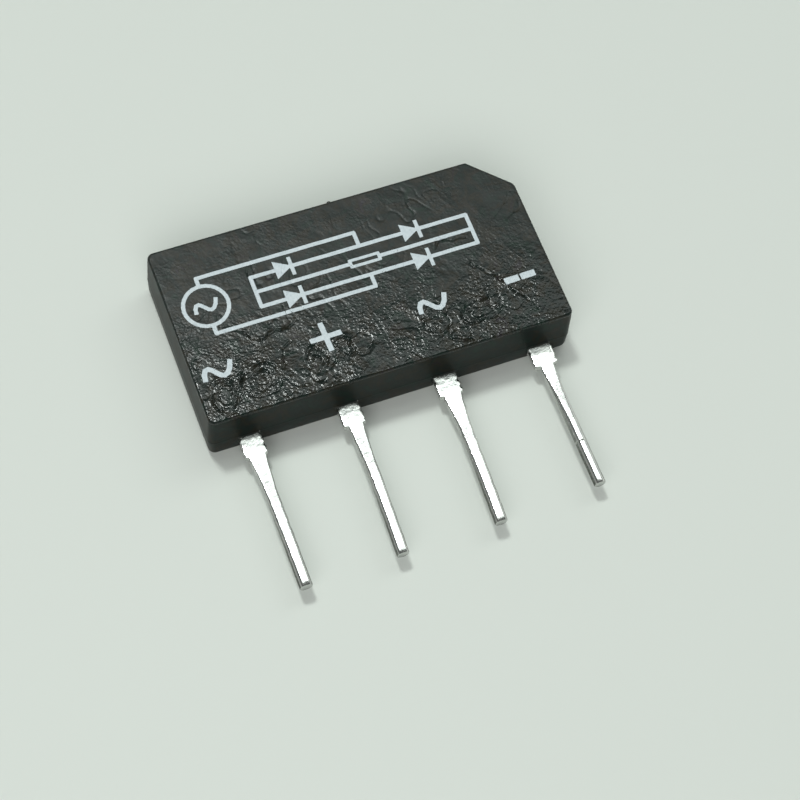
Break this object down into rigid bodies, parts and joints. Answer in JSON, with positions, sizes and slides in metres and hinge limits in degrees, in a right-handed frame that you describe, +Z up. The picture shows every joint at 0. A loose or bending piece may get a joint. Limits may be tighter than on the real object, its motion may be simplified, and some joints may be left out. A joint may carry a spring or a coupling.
{
  "type": "bridge rectifier",
  "caption": "Flat in-line bridge rectifier: black moulded case with one cut corner, a row of tinned leads along one long side, chips and clips inside.",
  "frame": {"origin": "middle of the back of the case, which the part rests on", "axes": "+X along the row of leads towards the minus end, -Y out along the leads, +Z up out of the printed face"},
  "size_m": [0.019, 0.0184, 0.0035],
  "materials": {
    "epoxy": "black moulded epoxy, glossy sides, orange-peel face",
    "tinned_lead": "bright tin over copper",
    "silicon": "passivated silicon",
    "clip_copper": "bare stamped copper",
    "solder": "dull solder"
  },
  "bodies": {
    "root": {"moulded_case": "epoxy", "lead_ac_left": "tinned_lead", "lead_plus": "tinned_lead", "lead_ac_right": "tinned_lead", "lead_minus": "tinned_lead", "die_ac_left_to_plus": "silicon", "die_ac_right_to_plus": "silicon", "die_minus_to_ac_left": "silicon", "die_minus_to_ac_right": "silicon", "clip_ac_left": "clip_copper", "clip_ac_right": "clip_copper", "strap_minus": "clip_copper", "solder_under_ac_left_to_plus": "solder", "solder_under_ac_right_to_plus": "solder", "solder_under_minus_to_ac_left": "solder", "solder_under_minus_to_ac_right": "solder", "solder_over_ac_left_to_plus": "solder", "solder_over_ac_right_to_plus": "solder", "solder_over_minus_to_ac_left": "solder", "solder_over_minus_to_ac_right": "solder", "solder_landing_ac_left": "solder", "solder_landing_ac_right": "solder", "solder_landing_minus": "solder"}
  },
  "joints": []
}
